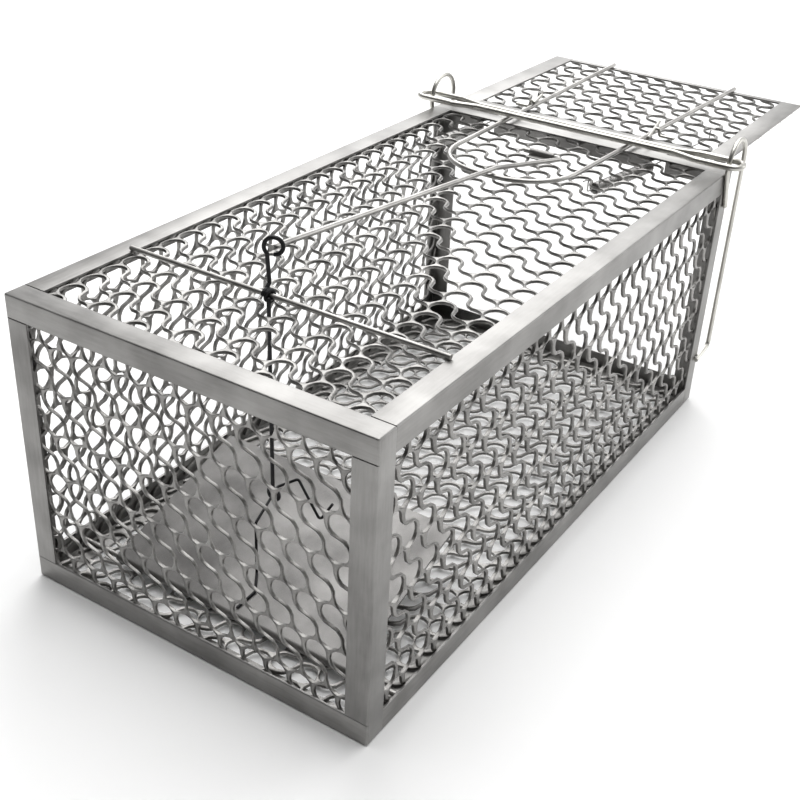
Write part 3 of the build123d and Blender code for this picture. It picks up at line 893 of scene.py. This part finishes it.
def turns(middle, axis, radius, start, swept, steps, rise):
    """Points round a level axis, from a start angle above level, moving along it by rise."""
    axis = Vector(axis).normalized()
    level = Vector((0, 0, 1)).cross(axis)
    line = []
    for i in range(steps + 1):
        angle = radians(start + swept * i / steps)
        round_it = level * radius * cos(angle) + Vector((0, 0, radius * sin(angle)))
        line.append(middle + round_it + axis * rise * (i / steps - 0.5))
    return line


eye_axis = (cos(radians(25)), sin(radians(25)), 0)
eye_turn = turns(eye_middle, eye_axis, eye_r, -50, 320, 24, 1.3)
wrap_turn = turns(bar_mm, (0, 1, 0), wrap_r, 0, 720, 32, -2.4)
ring_turn = turns(ring_middle, (1, 0, 0), ring_r, 90, 335, 20, 1.0)
lever_points = eye_turn[::-1] + [bar_mm + Vector((wrap_r, 1.2, 3.2))] + wrap_turn + ring_turn
lever_run = (lever_points, 0.3, False)
wire("bait_lever", "Bait_lever", "bait_lever", black_wire, [lever_run], lever_r)
print("lever height, mm:", round(high.z - low.z, 1))

# %% Bait wire
low, high = in_mm("bait_wire")
bait_r = 0.5
pivot_low, pivot_high = in_mm("treadle_pivot_wire")
pivot_mm = (pivot_low + pivot_high) / 2
plate_tilt = radians(16.4)


def on_plate(x, y):
    """A point of the wire's axis where it lies on the plate, x from the bait end."""
    rise = (x - 19.5) * sin(plate_tilt) / cos(plate_tilt)
    return Vector((bait_x / MM + x, y, pivot_mm.z + rise + 2.3 / cos(plate_tilt)))


stem_foot = on_plate(34.5, 0)
stem_top = Vector((stem_foot.x, 0, ring_middle.z - 4.3))
barb_start = ring_middle + (ring_middle - stem_top).normalized() * 3.0
bait_points = [on_plate(20, -3), on_plate(28, -4.5), stem_foot, stem_top, barb_start]
bait_points += [
    ring_middle + Vector(offset)
    for offset in ((7.2, -5.0, 4.0), (11.2, -11.5, -13.0), (13.7, -15.0, -6.0))
]
bait_run = (bait_points, 0.9, False)
wire("bait_wire", "Bait_wire", "treadle", black_wire, [bait_run], bait_r)
print("bait wire reach, mm:", round(high.x - low.x, 1))

# %% [markdown]
# ## Door springs
# Each is a close-wound extension spring under the cage top, with a hooked
# end up through the top mesh and a long tail hooked in the door mesh. The
# coil is a helix, which is a rule, so it grows from Geometry Nodes too.

# %% The coil tree
coil_tree, coil_in, coil_out = new_tree(
    "spring_coil",
    [
        ("Turns", "Float"),
        ("Coil radius", "Float"),
        ("Coil length", "Float"),
        ("Wire radius", "Float"),
        ("Material", "Material"),
    ],
)
helix = add_node(coil_tree, "GeometryNodeCurveSpiral", inputs={"Resolution": 14})
coil_section = add_node(coil_tree, "GeometryNodeCurvePrimitiveCircle")
coil_section.inputs["Resolution"].default_value = 6
coil_sweep = add_node(coil_tree, "GeometryNodeCurveToMesh", inputs={"Fill Caps": True})
coil_real = add_node(coil_tree, "GeometryNodeRealizeInstances")
coil_paint = add_node(coil_tree, "GeometryNodeSetMaterial")
for source, target in (
    ((coil_in, "Turns"), (helix, "Rotations")),
    ((coil_in, "Coil radius"), (helix, "Start Radius")),
    ((coil_in, "Coil radius"), (helix, "End Radius")),
    ((coil_in, "Coil length"), (helix, "Height")),
    ((helix, "Curve"), (coil_sweep, "Curve")),
    ((coil_in, "Wire radius"), (coil_section, "Radius")),
    ((coil_section, "Curve"), (coil_sweep, "Profile Curve")),
    ((coil_sweep, "Mesh"), (coil_real, "Geometry")),
    ((coil_real, "Geometry"), (coil_paint, "Geometry")),
    ((coil_in, "Material"), (coil_paint, "Material")),
    ((coil_paint, "Geometry"), (coil_out, "Geometry")),
):
    coil_tree.links.new(source[0].outputs[source[1]], target[0].inputs[target[1]])

# %% The two springs
spring_wire_r = 0.3
coil_r = 2.5
coil_from_hinge, coil_length = 47, 39
spring_reach = 40
coil_z = top_z / MM - 5.4
door_top = in_mm("door_mesh")[1].z
mesh_top_mm = top_high.z / MM
for node, name, near_y, far_y in (
    ("left_spring", "Left_spring", 51.0, 42.0),
    ("right_spring", "Right_spring", -29.0, -45.0),
):

    def on_line(from_hinge, z):
        """A point on the spring's line at a distance from the hinge."""
        share = (from_hinge + coil_from_hinge) / (coil_from_hinge + spring_reach)
        return Vector((hinge_mm + from_hinge, near_y + (far_y - near_y) * share, z))

    start = on_line(-coil_from_hinge, coil_z)
    stop = on_line(coil_length - coil_from_hinge, coil_z)
    coil = grow(
        coil_tree,
        bpy.data.meshes.new("seed"),
        "coil",
        {
            "Turns": 60.0,
            "Coil radius": (coil_r - spring_wire_r) * MM,
            "Coil length": (stop - start).length * MM,
            "Wire radius": spring_wire_r * MM,
            "Material": spring_steel,
        },
    )
    turn = (stop - start).to_track_quat("Z", "Y").to_matrix().to_4x4()
    coil.transform(Matrix.Translation(start * MM) @ turn)
    near = [
        on_line(-55.5, mesh_top_mm + 0.5),
        on_line(-54.5, mesh_top_mm + 0.6),
        on_line(-52, mesh_top_mm + 0.6),
        on_line(-52, coil_z),
        on_line(-46.5, coil_z),
    ]
    far = [
        on_line(-8.5, coil_z),
        on_line(39, door_top - 3.3),
        on_line(39, door_top + 0.6),
        on_line(43, door_top + 0.6),
    ]
    hooks = wire_mesh([(near, 0.9, False), (far, 0.9, False)], spring_wire_r, spring_steel)
    both = bmesh.new()
    both.from_mesh(coil)
    both.from_mesh(hooks)
    mesh = bpy.data.meshes.new(name)
    both.to_mesh(mesh)
    both.free()
    smooth_by_angle(mesh, 60)
    finished(mesh, name, "cage", [node], spring_steel)
print("springs: 2")

# %% [markdown]
# ## Welds
# Wires are held to strip by small resistance welds, which leave a low lump
# beside the wire. One lump is a ball made uneven by noise, and Geometry Nodes
# set one on every point of a list at the list's size, each with a turn from a
# fixed seed.

# %% The weld tree
weld_tree, weld_in, weld_out = new_tree(
    "weld_lumps", [("Size", "Float"), ("Seed", "Int"), ("Material", "Material")]
)
lump = add_node(weld_tree, "GeometryNodeMeshIcoSphere")
lump.inputs["Subdivisions"].default_value = 3
lump_noise = add_node(
    weld_tree, "ShaderNodeTexNoise", noise_dimensions="3D", inputs={"Scale": 900.0, "Detail": 1.0}
)
lump_shape = add_node(weld_tree, "GeometryNodeSetPosition")
lump_normal = add_node(weld_tree, "GeometryNodeInputNormal")
lump_push = add_node(weld_tree, "ShaderNodeMath", operation="MULTIPLY")
lump_push.inputs[1].default_value = 0.0004
lump_move = add_node(weld_tree, "ShaderNodeVectorMath", operation="SCALE")
set_lumps = add_node(weld_tree, "GeometryNodeInstanceOnPoints")
lump_turn = add_node(weld_tree, "FunctionNodeRandomValue", data_type="FLOAT_VECTOR")
lump_turn.inputs["Max"].default_value = (0.4, 0.4, 6.28)
lump_real = add_node(weld_tree, "GeometryNodeRealizeInstances")
lump_smooth = add_node(weld_tree, "GeometryNodeSetShadeSmooth")
lump_paint = add_node(weld_tree, "GeometryNodeSetMaterial")
for source, target in (
    ((weld_in, "Size"), (lump, "Radius")),
    ((lump, "Mesh"), (lump_shape, "Geometry")),
    ((lump_noise, "Fac"), (lump_push, 0)),
    ((lump_normal, "Normal"), (lump_move, 0)),
    ((lump_push, "Value"), (lump_move, "Scale")),
    ((lump_move, "Vector"), (lump_shape, "Offset")),
    ((lump_shape, "Geometry"), (set_lumps, "Instance")),
    ((weld_in, "Geometry"), (set_lumps, "Points")),
    ((weld_in, "Seed"), (lump_turn, "Seed")),
    ((lump_turn, "Value"), (set_lumps, "Rotation")),
    ((set_lumps, "Instances"), (lump_real, "Geometry")),
    ((lump_real, "Geometry"), (lump_smooth, "Geometry")),
    ((lump_smooth, "Geometry"), (lump_paint, "Geometry")),
    ((weld_in, "Material"), (lump_paint, "Material")),
    ((lump_paint, "Geometry"), (weld_out, "Geometry")),
):
    weld_tree.links.new(source[0].outputs[source[1]], target[0].inputs[target[1]])


def welds(name, body, points, size):
    """Weld lumps of a size at points in mm, as one piece on a body."""
    base = bpy.data.meshes.new("weld_points")
    base.from_pydata([Vector(p) * MM for p in points], [], [])
    settings = {"Size": size * MM, "Seed": 3, "Material": mesh_steel}
    mesh = grow(weld_tree, base, name, settings)
    mesh.name = name
    finished(mesh, name, body, [])


# %% Welds on the cage and the door
low, high = in_mm("cross_bar")
bar_z = top_z / MM + 0.25
cage_welds = [(bar_x / MM, side * (high.y - 1.2), bar_z) for side in (1, -1)]
for side in (1, -1):
    y = side * (cage_high.y / MM + 0.1)
    cage_welds += [(weld + 1.2, y, top_z / MM - 14.2), (weld + 1.2, y, 22.3)]
welds("Cage_welds", "cage", cage_welds, 0.85)
strip_top = in_mm("door_far_hem")[1].z
door_welds = [
    (bail_high.x - 2.4, bail_points[0][1], strip_top + 0.2),
    (bail_high.x - 2.4, bail_points[3][1], strip_top + 0.2),
    (hinge_mm + 5.0, 31.5, strip_top + 0.2),
    (hinge_mm + 5.0, -27.0, strip_top + 0.2),
]
welds("Door_welds", "door", door_welds, 0.85)
print("welds:", len(cage_welds) + len(door_welds))
